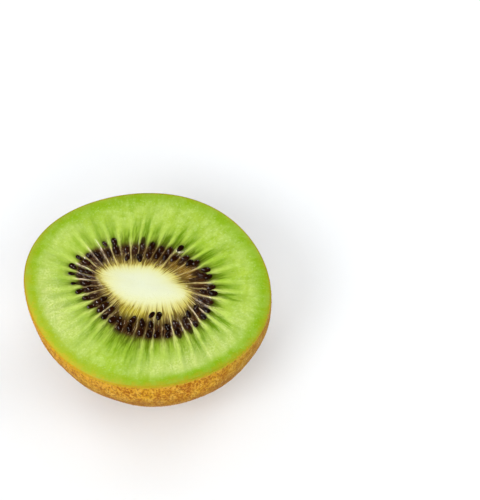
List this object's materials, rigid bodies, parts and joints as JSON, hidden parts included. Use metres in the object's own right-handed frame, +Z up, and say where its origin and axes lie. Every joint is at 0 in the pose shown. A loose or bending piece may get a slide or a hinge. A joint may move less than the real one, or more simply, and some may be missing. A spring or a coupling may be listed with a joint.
{
  "type": "kiwi fruit half",
  "caption": "Half of a green kiwi fruit cut across its middle, with pale core, dark seeds in a ring, green flesh and fuzzy brown skin.",
  "frame": {"origin": "middle of the small flat stem scar that the half stands on", "axes": "+Z up, out of the cut face; +X along the longer way across the cut, to the right as seen from the front; +Y away from the front"},
  "size_m": [0.0545, 0.0485, 0.0311],
  "materials": {
    "flesh": "moist, slightly translucent green fruit flesh with fine rays towards the core",
    "core": "moist, pale cream-green, smooth and dense",
    "seed": "wet near-black seed",
    "skin": "dry, thin golden-brown skin with fine grain",
    "fuzz": "short stiff brown hairs"
  },
  "bodies": {
    "root": {"flesh": "flesh", "core": "core"}
  },
  "joints": []
}
